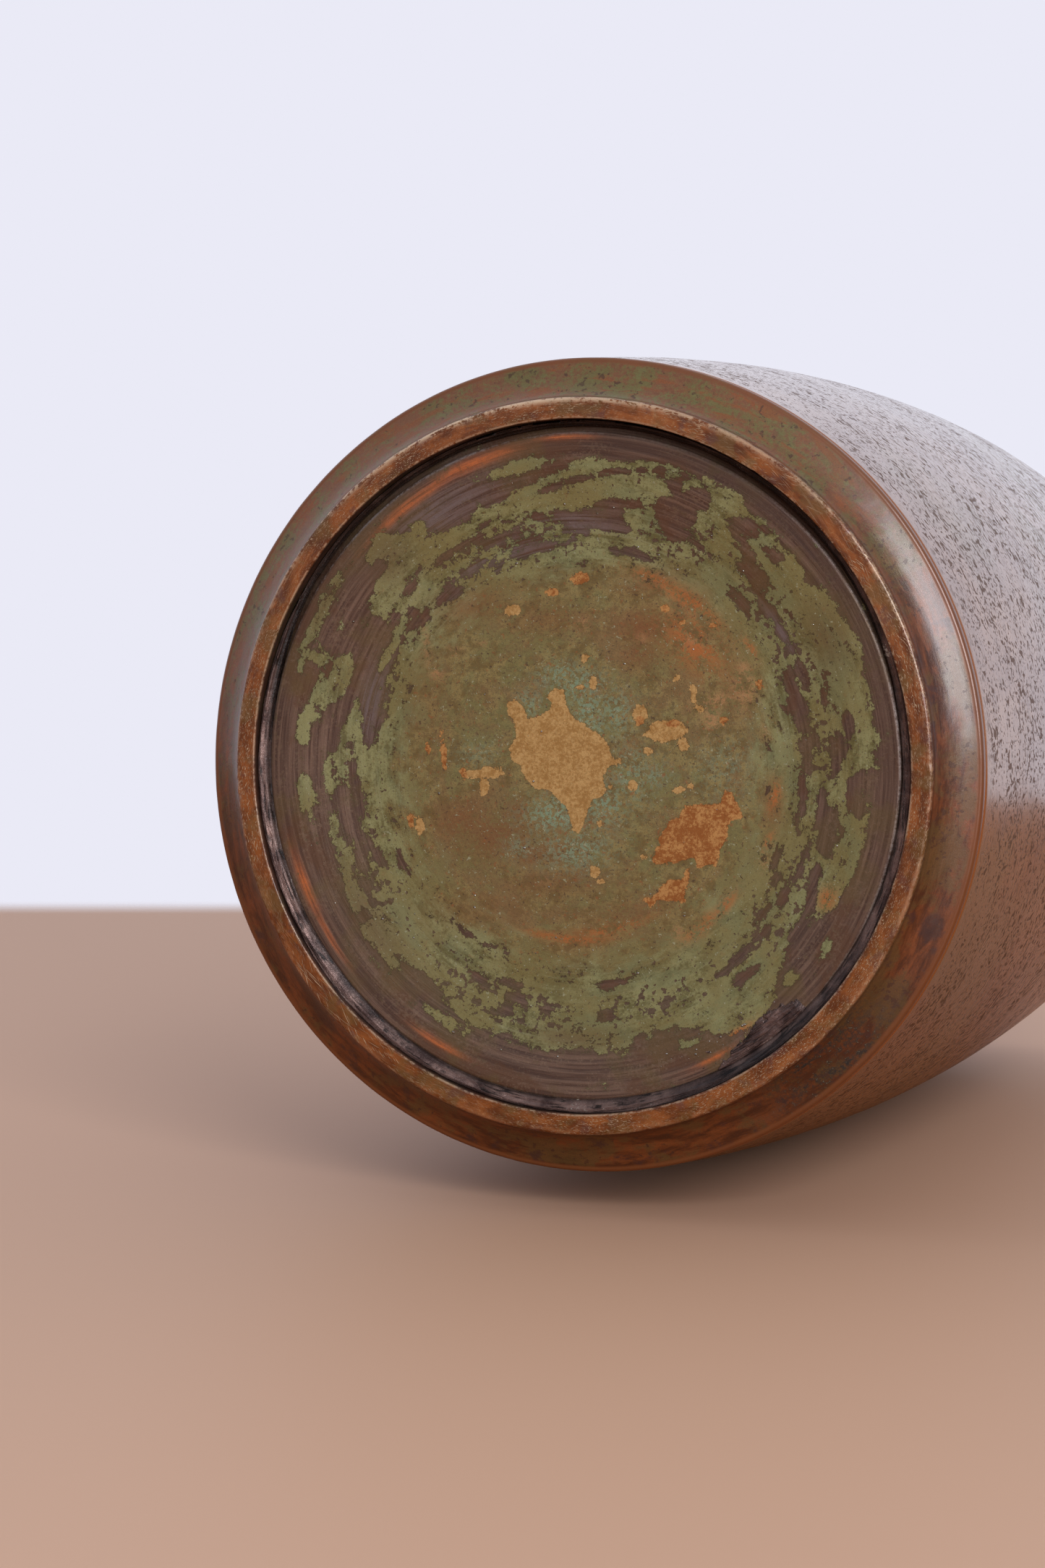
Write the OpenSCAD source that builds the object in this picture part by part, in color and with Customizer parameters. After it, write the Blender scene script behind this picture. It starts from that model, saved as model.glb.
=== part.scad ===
// Deep barrel-shaped copper vessel: a thin hammered wall on a turned foot ring,
// closed by a dished base disc that is soldered into the foot, with a turned
// ring at the mouth. The vessel stands on its foot. The origin is the centre
// of the foot's resting face, +Z points up to the mouth, and lengths are in mm.

/* [Wall] */
// Radius of the wall where it meets the foot
wall_foot_r = 54; // [53:0.5:56]
// Radius of the wall at its widest
belly_r = 59.1; // [56:0.1:64]
// Height of the widest place above the resting face
belly_z = 97.5; // [85:0.5:110]
// Height at which the barrel turns into the shoulder
shoulder_z = 165; // [150:1:175]
// Radius of the shoulder's curve, seen from the side
shoulder_curve_r = 22; // [18:0.5:26]
// Steepest lean of the shoulder from upright, in degrees
shoulder_lean = 60; // [50:1:70]
// Thickness of the hammered wall
wall_t = 1.4; // [1:0.1:2]

/* [Foot ring] */
// Height of the corner between foot and wall above the resting face
foot_h = 5.6; // [5.2:0.05:7]
// Outer radius of the resting face's ring
ring_r = 48.5; // [47.5:0.1:50]
// Radius of the worn edge around the resting face
ring_edge_r = 0.6; // [0.4:0.1:1.2]
// Hollow of the shoulder outside the ring, from 0 for a straight slope to 1 for a quarter ellipse
cove_hollow = 0.55; // [0.2:0.05:1]
// Radius of the pocket that holds the base disc
pocket_r = 45.6; // [45.5:0.1:46]
// Radius of the bead at the corner between foot and wall
corner_bead_r = 0.6; // [0.3:0.1:0.8]
// How far the foot ring's collar reaches up inside the wall
collar_h = 3.2; // [2:0.1:4]

/* [Base disc] */
// Thickness of the disc's sheet
disc_t = 1.2; // [0.8:0.1:1.5]
// Height of the disc's flat flange above the resting face
flange_z = 2.4; // [2.2:0.1:3]
// Height of the disc's rolled edge above the resting face
roll_z = 1.75; // [1.5:0.05:2]
// Height of the disc's flat middle above the resting face
plateau_z = 3.8; // [3:0.1:4.5]
// Radius of the disc's flat middle
plateau_r = 27.8; // [22:0.1:32]

/* [Solder] */
// Width of the solder bead around the disc
solder_w = 1.3; // [1.1:0.1:1.4]
// Height of the solder bead on the pocket's wall
solder_h = 1.4; // [1:0.1:1.6]
// Width of the brazed joints between the wall and its two rings
braze_w = 0.6; // [0.3:0.1:0.8]

/* [Mouth ring] */
// Height of the mouth ring's lip above the neck
lip_h = 5; // [4:0.1:7]
// How far the lip stands out over the neck
lip_out = 1.6; // [0.8:0.1:2.5]
// How far the lip stands in over the neck's inside
lip_in = 2.4; // [2.2:0.1:3]
// Height of the neck's straight stretch
neck_h = 4; // [3.6:0.1:6]

/* [Hidden] */
$fn = 96;

copper_brown = [0.47, 0.33, 0.24];
foot_brown = [0.55, 0.33, 0.18];
disc_green = [0.43, 0.45, 0.27];
solder_grey = [0.33, 0.30, 0.29];
braze_gold = [0.72, 0.52, 0.28];

// The barrel is one arc through the foot's corner, widest at belly_z.
sagitta = belly_r - wall_foot_r;
half_chord = belly_z - foot_h;
barrel_curve_r = (half_chord * half_chord + sagitta * sagitta) / (2 * sagitta);
barrel_centre = [belly_r - barrel_curve_r, belly_z];
barrel_foot_angle = -asin(half_chord / barrel_curve_r);
barrel_top_angle = asin((shoulder_z - belly_z) / barrel_curve_r);

// The shoulder and the hollow curve below the neck follow on, each tangent to the last.
neck_curve_r = 4;
shoulder_centre = barrel_centre + (barrel_curve_r - shoulder_curve_r) * ray(barrel_top_angle);
neck_centre = shoulder_centre + (shoulder_curve_r + neck_curve_r) * ray(shoulder_lean);
neck_r = neck_centre[0] - neck_curve_r;
neck_top = neck_centre[1] + neck_h;

// The foot ring's hollow shoulder, collar and pocket.
collar_r = wall_foot_r - wall_t / cos(barrel_foot_angle) - braze_w;
collar_t = 2.4;
collar_top = foot_h + collar_h;
cove_end_r = wall_foot_r - corner_bead_r;
cove_top = foot_h - 2 * corner_bead_r;
ledge_r = 44.3;
ledge_z = flange_z + disc_t;
inner_break = 0.15;

// The disc's rolled edge stands just inside the solder bead, with a groove between.
roll_r = 44.15;
roll_curve_r = flange_z - roll_z;
dish_start_r = roll_r - roll_curve_r;

// The run of solder that spread over the disc's edge.
run_start_angle = -121;
run_sweep = 24;
run_in_r = 40.4;
run_t = 0.35;

barrel_steps = 48;
shoulder_steps = 12;
edge_steps = 8;
dish_steps = 18;

function ray(angle) = [cos(angle), sin(angle)];

// Points on an arc round centre, from one angle to another.
function arc(centre, radius, from, to, steps) =
    [for (i = [0:steps]) centre + radius * ray(from + (to - from) * i / steps)];

// One face of the wall, from foot to neck, moved in by inset.
function wall_face(inset) = concat(
    arc(barrel_centre, barrel_curve_r - inset, barrel_foot_angle, barrel_top_angle, barrel_steps),
    arc(shoulder_centre, shoulder_curve_r - inset, barrel_top_angle, shoulder_lean, shoulder_steps),
    arc(neck_centre, neck_curve_r + inset, shoulder_lean + 180, 180, edge_steps),
    [[neck_r - inset, neck_top]]
);

// The inner face starts on the level of the foot's shelf.
inner_face = [for (point = wall_face(wall_t)) if (point[1] > foot_h + 0.5) point];
inner_foot = [collar_r + braze_w, foot_h];

// Height of the disc's underside: a smooth dish from the rolled edge to the flat middle.
function dish_z(r) =
    r <= plateau_r ? plateau_z
    : roll_z + (plateau_z - roll_z) * (1 + cos(180 * (r - plateau_r) / (dish_start_r - plateau_r))) / 2;

function dish_line(from, to, lift) =
    [for (i = [0:dish_steps]) let (r = from + (to - from) * i / dish_steps) [r, dish_z(r) + lift]];

function reversed(points) = [for (i = [len(points) - 1:-1:0]) points[i]];

// Thin wall raised from sheet, open at both ends.
module body_shell() {
    color(copper_brown)
    rotate_extrude()
    polygon(concat(wall_face(0), reversed(inner_face), [inner_foot]));
}

// Turned ring: resting face, hollow shoulder, corner bead, collar and disc pocket.
module foot_ring() {
    cove = [for (i = [0:12]) let (
        a = 180 - 90 * i / 12,
        rise = cove_hollow * sin(a) + (1 - cove_hollow) * (1 + cos(a))
    ) [cove_end_r + (cove_end_r - ring_r) * cos(a), ring_edge_r + (cove_top - ring_edge_r) * rise]];
    color(foot_brown)
    rotate_extrude()
    polygon(concat(
        [[pocket_r + inner_break, 0]],
        arc([ring_r - ring_edge_r, ring_edge_r], ring_edge_r, -90, 0, edge_steps),
        [for (i = [1:12]) cove[i]],
        arc([cove_end_r, cove_top + corner_bead_r], corner_bead_r, -80, 0, edge_steps),
        [[wall_foot_r, foot_h], [collar_r, foot_h], [collar_r, collar_top - 0.4]],
        [[collar_r - 0.4, collar_top], [collar_r - collar_t, collar_top]],
        [[ledge_r, ledge_z + disc_t + 0.6], [ledge_r, ledge_z], [pocket_r, ledge_z]],
        [[pocket_r, inner_break]]
    ));
}

// Dished sheet disc with a rolled edge and a flat flange that lies against the pocket's ledge.
module base_disc() {
    under = concat(
        dish_line(plateau_r, dish_start_r, 0),
        arc([dish_start_r, flange_z], roll_curve_r, -80, 0, edge_steps),
        [[pocket_r, flange_z]]
    );
    top = concat(
        dish_line(plateau_r, dish_start_r, disc_t),
        [[roll_r, ledge_z], [pocket_r, ledge_z]]
    );
    color(disc_green)
    rotate_extrude()
    polygon(concat([[0, plateau_z]], under, reversed(top), [[0, plateau_z + disc_t]]));
}

// Solder bead in the corner between disc and pocket, with the run that spread over the disc.
module base_solder() {
    corner = [pocket_r, flange_z];
    bead = [for (i = [0:edge_steps]) let (a = 180 + 90 * i / edge_steps)
        corner + [solder_w * cos(a), solder_h * sin(a)]];
    run_top = concat(
        dish_line(run_in_r, dish_start_r, 0),
        arc([dish_start_r, flange_z], roll_curve_r, -80, 0, edge_steps),
        [[pocket_r - 1, flange_z]]
    );
    color(solder_grey)
    union() {
        rotate_extrude()
        polygon(concat([corner], bead));
        rotate([0, 0, run_start_angle - run_sweep / 2])
        rotate_extrude(angle = run_sweep)
        polygon(concat(run_top, [[pocket_r - 1, flange_z - solder_h * 0.7], [dish_start_r, roll_z - run_t]]));
    }
}

// Brazing metal between the wall and the foot ring's collar.
module foot_braze() {
    color(braze_gold)
    rotate_extrude()
    polygon([[collar_r, foot_h], inner_foot, inner_face[0], [collar_r, inner_face[0][1]]]);
}

// Turned ring that stiffens the mouth: a rounded lip over a collar inside the neck.
module mouth_ring() {
    lip_r = neck_r + lip_out;
    bore_r = neck_r - wall_t - lip_in;
    lip_top = neck_top + lip_h;
    outer_round = 1.8;
    inner_round = 1;
    collar_bottom = neck_top - neck_h + 0.6;
    color(foot_brown)
    rotate_extrude()
    polygon(concat(
        [[bore_r, collar_bottom], [neck_r - wall_t - braze_w, collar_bottom]],
        [[neck_r - wall_t - braze_w, neck_top], [neck_r + 0.2, neck_top]],
        arc([lip_r - 0.7, neck_top + 0.9], 0.7, -70, 0, edge_steps),
        arc([lip_r - outer_round, lip_top - outer_round], outer_round, 0, 90, edge_steps),
        arc([bore_r + inner_round, lip_top - inner_round], inner_round, 90, 180, edge_steps)
    ));
}

// Brazing metal between the neck and the mouth ring's collar.
module mouth_braze() {
    color(braze_gold)
    rotate_extrude()
    polygon([
        [neck_r - wall_t - braze_w, neck_top - neck_h + 0.6],
        [neck_r - wall_t, neck_top - neck_h + 0.6],
        [neck_r - wall_t, neck_top],
        [neck_r - wall_t - braze_w, neck_top]
    ]);
}

body_shell();
foot_ring();
base_disc();
base_solder();
foot_braze();
mouth_ring();
mouth_braze();
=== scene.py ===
"""A deep hammered copper vessel, lying on its side on a pale floor with its foot towards the camera."""

import math

import bmesh
import bpy
import numpy as np
from mathutils import Matrix, Vector


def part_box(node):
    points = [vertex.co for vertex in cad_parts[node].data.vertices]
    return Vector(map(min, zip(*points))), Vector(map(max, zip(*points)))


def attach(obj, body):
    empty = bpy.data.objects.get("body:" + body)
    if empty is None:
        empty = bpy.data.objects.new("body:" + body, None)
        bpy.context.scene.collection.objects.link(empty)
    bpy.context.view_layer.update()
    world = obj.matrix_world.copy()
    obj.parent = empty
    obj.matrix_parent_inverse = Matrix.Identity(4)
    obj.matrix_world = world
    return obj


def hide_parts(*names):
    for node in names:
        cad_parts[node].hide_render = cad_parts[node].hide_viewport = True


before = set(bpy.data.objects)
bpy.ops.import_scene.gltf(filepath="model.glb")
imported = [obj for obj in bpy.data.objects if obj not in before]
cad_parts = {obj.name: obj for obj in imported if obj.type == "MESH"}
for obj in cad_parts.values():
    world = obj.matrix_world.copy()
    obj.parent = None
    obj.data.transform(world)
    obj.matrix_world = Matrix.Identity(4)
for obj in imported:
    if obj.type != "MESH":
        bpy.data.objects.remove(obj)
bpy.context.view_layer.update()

MM = 0.001

# Sizes, in mm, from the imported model


def box_mm(node):
    low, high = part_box(node)
    return np.array(low) / MM, np.array(high) / MM


SHELL_LOW, SHELL_HIGH = box_mm("body_shell")
FOOT_LOW, FOOT_HIGH = box_mm("foot_ring")
DISC_LOW, DISC_HIGH = box_mm("base_disc")
SOLDER_LOW, _ = box_mm("base_solder")
MOUTH_LOW, MOUTH_HIGH = box_mm("mouth_ring")

BELLY_R = (SHELL_HIGH[0] - SHELL_LOW[0]) / 2
WALL_FOOT_R = (FOOT_HIGH[0] - FOOT_LOW[0]) / 2
POCKET_R = (DISC_HIGH[0] - DISC_LOW[0]) / 2
FOOT_H = SHELL_LOW[2]
NECK_TOP = SHELL_HIGH[2]
COLLAR_TOP = FOOT_HIGH[2]
ROLL_Z = DISC_LOW[2]
LIP_R = (MOUTH_HIGH[0] - MOUTH_LOW[0]) / 2
LIP_TOP = MOUTH_HIGH[2]
MOUTH_COLLAR_Z = MOUTH_LOW[2]

# The same shape rules as the model's source.
WALL_T = 1.4
BELLY_Z = 97.5
SHOULDER_Z = 165.0
SHOULDER_CURVE_R = 22.0
SHOULDER_LEAN = 60.0
NECK_CURVE_R = 4.0
RING_R = 48.5
RING_EDGE_R = 0.6
COVE_HOLLOW = 0.55
CORNER_BEAD_R = 0.6
BRAZE_W = 0.6
DISC_T = 1.2
FLANGE_Z = 2.4
PLATEAU_Z = 3.8
PLATEAU_R = 27.8
ROLL_R = 44.15
LEDGE_R = 44.3
SOLDER_W = 1.3
RUN_IN_R = 41.0
RUN_AT = -124.0
RUN_HALF = 12.5
LIP_IN = 2.4

# The way up the vessel is seen: lying with +Y up, its foot seen from below.
SEEN_TURN = math.radians(5.6)


# Outlines


def ray(angle):
    return np.array([math.cos(math.radians(angle)), math.sin(math.radians(angle))])


def arc(centre, radius, start, end, steps):
    """Points on a circle, or on an ellipse if radius is an array of its two half widths."""
    return [np.array(centre) + radius * ray(start + (end - start) * i / steps) for i in range(steps + 1)]


def resample(points, spacing):
    """The same line with points an even distance apart, about the given spacing."""
    points = np.array(points, float)
    along = np.r_[0, np.cumsum(np.hypot(*np.diff(points, axis=0).T))]
    count = max(2, int(round(along[-1] / spacing)) + 1)
    at = np.linspace(0, along[-1], count)
    return np.stack([np.interp(at, along, points[:, 0]), np.interp(at, along, points[:, 1])], 1)


SAGITTA = BELLY_R - WALL_FOOT_R
HALF_CHORD = BELLY_Z - FOOT_H
BARREL_R = (HALF_CHORD**2 + SAGITTA**2) / (2 * SAGITTA)
BARREL_CENTRE = np.array([BELLY_R - BARREL_R, BELLY_Z])
FOOT_ANGLE = -math.degrees(math.asin(HALF_CHORD / BARREL_R))
TOP_ANGLE = math.degrees(math.asin((SHOULDER_Z - BELLY_Z) / BARREL_R))
SHOULDER_CENTRE = BARREL_CENTRE + (BARREL_R - SHOULDER_CURVE_R) * ray(TOP_ANGLE)
NECK_CENTRE = SHOULDER_CENTRE + (SHOULDER_CURVE_R + NECK_CURVE_R) * ray(SHOULDER_LEAN)
NECK_R = NECK_CENTRE[0] - NECK_CURVE_R
COLLAR_R = WALL_FOOT_R - WALL_T / math.cos(math.radians(FOOT_ANGLE)) - BRAZE_W
DISH_START_R = ROLL_R - (FLANGE_Z - ROLL_Z)


def wall_face(inset):
    """One face of the wall from foot to neck, moved in by inset."""
    return (
        arc(BARREL_CENTRE, BARREL_R - inset, FOOT_ANGLE, TOP_ANGLE, 80)
        + arc(SHOULDER_CENTRE, SHOULDER_CURVE_R - inset, TOP_ANGLE, SHOULDER_LEAN, 24)[1:]
        + arc(NECK_CENTRE, NECK_CURVE_R + inset, SHOULDER_LEAN + 180, 180, 12)[1:]
        + [np.array([NECK_R - inset, NECK_TOP])]
    )


def cove_rise(steps):
    """Places on the foot's hollow shoulder: shares of the way out and of the way up."""
    for a in np.radians(np.linspace(180, 90, steps + 1))[1:]:
        s = 1 + math.cos(a)
        yield s, COVE_HOLLOW * math.sin(a) + (1 - COVE_HOLLOW) * s


def dish_z(r):
    """Height of the base disc's underside: a smooth dish from the rolled edge to the flat middle."""
    t = np.clip((np.asarray(r, float) - PLATEAU_R) / (DISH_START_R - PLATEAU_R), 0, 1)
    return ROLL_Z + (PLATEAU_Z - ROLL_Z) * (1 + np.cos(np.pi * t)) / 2


# Seeded noise round the axis


def lattice_noise(around, along, cells, seed):
    """Smooth noise from 0 to 1. around runs from 0 to 1 once round the axis; along counts cells."""
    table = np.random.RandomState(seed).rand(cells, 256)
    u = (around % 1) * cells
    iu, iv = np.floor(u).astype(int), np.floor(along).astype(int)
    fu, fv = u - iu, along - iv
    fu, fv = fu * fu * (3 - 2 * fu), fv * fv * (3 - 2 * fv)

    def at(a, b):
        return table[a % cells, b % 256]

    low = at(iu, iv) * (1 - fu) + at(iu + 1, iv) * fu
    high = at(iu, iv + 1) * (1 - fu) + at(iu + 1, iv + 1) * fu
    return low * (1 - fv) + high * fv


def layered_noise(around, along, cells, seed, layers=4):
    """Several octaves of lattice noise, from -1 to 1."""
    total, weight, value = 0.0, 1.0, 0.0
    for k in range(layers):
        value = value + weight * (2 * lattice_noise(around, along * 2**k, cells * 2**k, seed + k) - 1)
        total += weight
        weight *= 0.5
    return value / total


def step(value, low, high):
    t = np.clip((value - low) / (high - low), 0, 1)
    return t * t * (3 - 2 * t)


# Turned meshes


def linked(name, data):
    thing = bpy.data.objects.new(name, data)
    bpy.context.collection.objects.link(thing)
    return thing


def unit(steps):
    return steps / (np.linalg.norm(steps, axis=1, keepdims=True) + 1e-12)


def lathe(name, outline, turns, relief, closed=True):
    """Turns an outline of (r, z) points, in mm, round the Z axis. Points run with the solid on their
    left. relief(around, r, z) moves the surface out by so many mm. An open outline starts and ends on
    the axis. Returns the object and each vertex's (around, r, z)."""
    outline = np.array(outline, float)
    count = len(outline)
    ahead = np.roll(outline, -1, 0) - outline
    behind = outline - np.roll(outline, 1, 0)
    if not closed:
        ahead[-1], behind[0] = behind[-1], ahead[0]
    tangent = unit(unit(ahead) + unit(behind))
    around = np.arange(turns) / turns + np.zeros((count, 1))
    r0, z0 = outline[:, :1] + 0 * around, outline[:, 1:] + 0 * around
    out = relief(around, r0, z0)
    r, z = r0 + tangent[:, 1:] * out, z0 - tangent[:, :1] * out
    angle = 2 * np.pi * around
    verts = np.stack([r * np.cos(angle), r * np.sin(angle), z], -1).reshape(-1, 3)
    index = np.arange(count * turns).reshape(count, turns)
    bands = range(count) if closed else range(1, count - 2)
    pairs = [(index[i], index[(i + 1) % count]) for i in bands]
    quads = np.concatenate([np.stack([a, np.roll(a, -1), np.roll(b, -1), b], 1) for a, b in pairs])
    fans = np.zeros((0, 3), int)
    if not closed:
        first, end = index[0, 0], index[-1, 0]
        verts[first], verts[end] = (0, 0, z0[0, 0]), (0, 0, z0[-1, 0])
        a, b = index[1], index[-2]
        fans = np.concatenate([
            np.stack([np.full(turns, first), np.roll(a, -1), a], 1),
            np.stack([np.full(turns, end), b, np.roll(b, -1)], 1),
        ])
    corners = np.concatenate([quads.ravel(), fans.ravel()])
    used, corners = np.unique(corners, return_inverse=True)
    mesh = bpy.data.meshes.new(name)
    mesh.vertices.add(len(used))
    mesh.vertices.foreach_set("co", (verts[used] * MM).ravel())
    mesh.loops.add(len(corners))
    mesh.loops.foreach_set("vertex_index", corners.ravel())
    mesh.polygons.add(len(quads) + len(fans))
    starts = np.r_[np.arange(len(quads)) * 4, len(quads) * 4 + np.arange(len(fans)) * 3]
    mesh.polygons.foreach_set("loop_start", starts)
    mesh.update(calc_edges=True)
    mesh.validate()
    mesh.shade_smooth()
    return linked(name, mesh), np.stack([around, r0, z0], -1).reshape(-1, 3)[used]


def paint(piece, material, **fields):
    """Gives a piece its material, and stores one number per vertex for each field the material reads."""
    piece.data.materials.append(material)
    for name, values in fields.items():
        attribute = piece.data.attributes.new(name, "FLOAT", "POINT")
        attribute.data.foreach_set("value", np.asarray(values, float).ravel())


def seen(places):
    """Places on the foot as seen from below with +Y up: x to the right, y up, and the clockwise angle."""
    angle = 2 * np.pi * places[:, 0]
    x, y = places[:, 1] * np.cos(angle), places[:, 1] * np.sin(angle)
    c, s = math.cos(SEEN_TURN), math.sin(SEEN_TURN)
    right, up = -x * c + y * s, x * s + y * c
    return right, up, np.degrees(np.arctan2(right, up)) % 360


# Node helpers

# The radius, in mm, where noise drawn round the axis keeps its size before it is squeezed.
WRAP_R = 45


def srgb(red, green, blue):
    """A colour read off a screen, 0 to 255, as Blender's linear colour."""
    channels = [c / 255 for c in (red, green, blue)]
    return tuple(c / 12.92 if c < 0.04045 else ((c + 0.055) / 1.055) ** 2.4 for c in channels) + (1,)


class Nodes:
    """A node tree, built one step at a time. A colour given as three numbers is read as srgb's."""

    def __init__(self, owner):
        owner.use_nodes = True
        self.tree = owner.node_tree
        self.tree.nodes.clear()

    def new(self, kind):
        return self.tree.nodes.new("ShaderNode" + kind)

    def put(self, socket, value):
        if isinstance(value, bpy.types.NodeSocket):
            self.tree.links.new(value, socket)
        elif socket.type == "RGBA":
            socket.default_value = srgb(*value)
        else:
            socket.default_value = value

    def fill(self, node, *values):
        """Fills a node's first sockets, and passes over those given as None."""
        for socket, value in zip(node.inputs, values):
            if value is not None:
                self.put(socket, value)
        return node

    def math(self, operation, a, b=0):
        node = self.new("Math")
        node.operation = operation
        return self.fill(node, a, b).outputs[0]

    def add(self, a, b):
        return self.math("ADD", a, b)

    def times(self, a, b):
        return self.math("MULTIPLY", a, b)

    def most(self, a, b):
        return self.math("MAXIMUM", a, b)

    def vector(self, operation, a, b=None, scale=None):
        node = self.new("VectorMath")
        node.operation = operation
        self.fill(node, a, b, None, scale)
        return node.outputs["Value" if operation in ("LENGTH", "DOT_PRODUCT") else "Vector"]

    def join(self, x, y, z):
        return self.fill(self.new("CombineXYZ"), x, y, z).outputs[0]

    def split(self, vector):
        return self.fill(self.new("SeparateXYZ"), vector).outputs

    def between(self, value, low, high, out_low=0, out_high=1):
        """A smooth step from out_low at low to out_high at high."""
        node = self.new("MapRange")
        node.interpolation_type = "SMOOTHSTEP"
        return self.fill(node, value, low, high, out_low, out_high).outputs[0]


class Paint(Nodes):
    """A material with one shader, and the noises and colours that feed it."""

    def __init__(self, name):
        self.material = bpy.data.materials.new(name)
        super().__init__(self.material)
        self.output = self.new("OutputMaterial")
        self.shader = self.new("BsdfPrincipled")
        self.put(self.output.inputs["Surface"], self.shader.outputs[0])
        self.mm = self.vector("SCALE", self.new("TexCoord").outputs["Object"], scale=1 / MM)

    def noise(self, where, scale, detail=4, rough=0.55, twist=0):
        node = self.fill(self.new("TexNoise"), where, None, scale, detail, rough)
        self.put(node.inputs["Distortion"], twist)
        return node.outputs[0]

    def swirled(self, where, scale, reach):
        """The same coordinates pushed about by noise, by up to about half of reach."""
        node = self.fill(self.new("TexNoise"), where, None, scale)
        push = self.vector("SUBTRACT", node.outputs["Color"], (0.5, 0.5, 0.5))
        return self.vector("ADD", where, self.vector("SCALE", push, scale=reach))

    def moved(self, where, by):
        """The same coordinates shifted, so that a second noise doesn't repeat the first."""
        return self.vector("ADD", where, (by, by * 0.7, -by))

    def spread(self, *layers):
        """Adds up pairs of a noise and a weight, each centred on 0."""
        total = 0
        for value, weight in layers:
            total = self.add(total, self.times(self.add(value, -0.5), weight))
        return total

    def mix(self, factor, a, b):
        """A colour between two colours."""
        node = self.new("Mix")
        node.data_type = "RGBA"
        return self.fill(node, factor, None, None, None, None, None, a, b).outputs[2]

    def blend(self, factor, a, b):
        """A number between two numbers."""
        return self.fill(self.new("Mix"), factor, None, a, b).outputs[0]

    def tones(self, value, low, high, first, last):
        """The first colour where value is below low, and the last where it is above high."""
        return self.mix(self.between(value, low, high), first, last)

    def coats(self, colour, *coats):
        """Lays colours over the first, each as far as its own factor says."""
        for factor, coat in coats:
            colour = self.mix(factor, colour, coat)
        return colour

    def fields(self, names):
        """The numbers that paint() stored for each vertex."""
        found = []
        for name in names.split():
            node = self.new("Attribute")
            node.attribute_name = name
            found.append(node.outputs["Fac"])
        return found

    def bump(self, height, distance):
        node = self.new("Bump")
        self.put(node.inputs["Height"], height)
        node.inputs["Distance"].default_value = distance * MM
        node.inputs["Strength"].default_value = 1
        return node.outputs[0]

    def round_axis(self, squeeze):
        """Coordinates in mm in which noise is drawn out round the axis: the angle's place on a circle
        that squeeze makes smaller, and the radius added to Z."""
        x, y, z = self.split(self.mm)
        flat = self.join(x, y, 0)
        circle = self.vector("SCALE", self.vector("NORMALIZE", flat), scale=WRAP_R * squeeze)
        x, y, _ = self.split(circle)
        return self.join(x, y, self.add(self.vector("LENGTH", flat), z))

    def finish(self, colour, rough, metal, bump=None, **others):
        named = {"Base Color": colour, "Roughness": rough, "Metallic": metal, **others}
        if bump is not None:
            named["Normal"] = bump
        for name, value in named.items():
            self.put(self.shader.inputs[name.replace("_", " ")], value)
        return self.material


# Materials


def wall_copper():
    """Brown, waxed, hammered copper with fine dark pits drawn out round the vessel."""
    p = Paint("hammered_copper")
    x, y, z = p.split(p.swirled(p.mm, 0.3, 1.2))

    def flattened(by):
        return p.join(x, y, p.times(z, by))

    gather = p.noise(flattened(1.6), 0.07, 5, 0.66)
    crowd = p.times(p.add(gather, -0.5), 0.3)
    long_pit = p.noise(flattened(1.3), 0.95, 3)
    short_pit = p.noise(flattened(1.3), 1.9, 2, 0.5)
    pits = p.between(p.add(long_pit, crowd), 0.575, 0.595)
    pits = p.most(pits, p.between(p.add(short_pit, crowd), 0.585, 0.61, 0, 0.9))
    pits = p.times(pits, p.between(p.add(z, p.times(gather, 4)), FOOT_H + 2.5, FOOT_H + 6))
    [worn] = p.fields("worn")
    cloud = p.noise(p.mm, 0.05, 6, 0.62, 0.5)
    streak = p.noise(flattened(7), 0.2, 6, 0.68)
    fine = p.noise(flattened(3), 1.3, 5, 0.65)
    colour = p.coats(
        p.tones(cloud, 0.35, 0.65, (134, 86, 54), (160, 112, 72)),
        (p.between(streak, 0.4, 0.7, 0, 0.7), (110, 66, 42)),
        (p.between(fine, 0.45, 0.75, 0, 0.45), (190, 138, 86)),
        (p.between(p.noise(p.moved(p.mm, 40), 0.03), 0.48, 0.66, 0, 0.5), (130, 110, 68)),
        (worn, (184, 108, 50)),
        (p.times(pits, 0.8), (82, 56, 40)),
    )
    return p.finish(
        colour,
        p.add(p.between(streak, 0.3, 0.8, 0.2, 0.34), p.times(pits, 0.25)),
        p.blend(pits, 0.5, 0.1),
        p.bump(p.add(p.times(pits, -1), p.times(fine, 0.14)), 0.14),
        Specular_IOR_Level=p.blend(pits, 0.5, 0.15),
        Coat_Weight=p.blend(pits, 1, 0.15),
        Coat_Roughness=0.17,
        Coat_IOR=1.55,
    )


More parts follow.
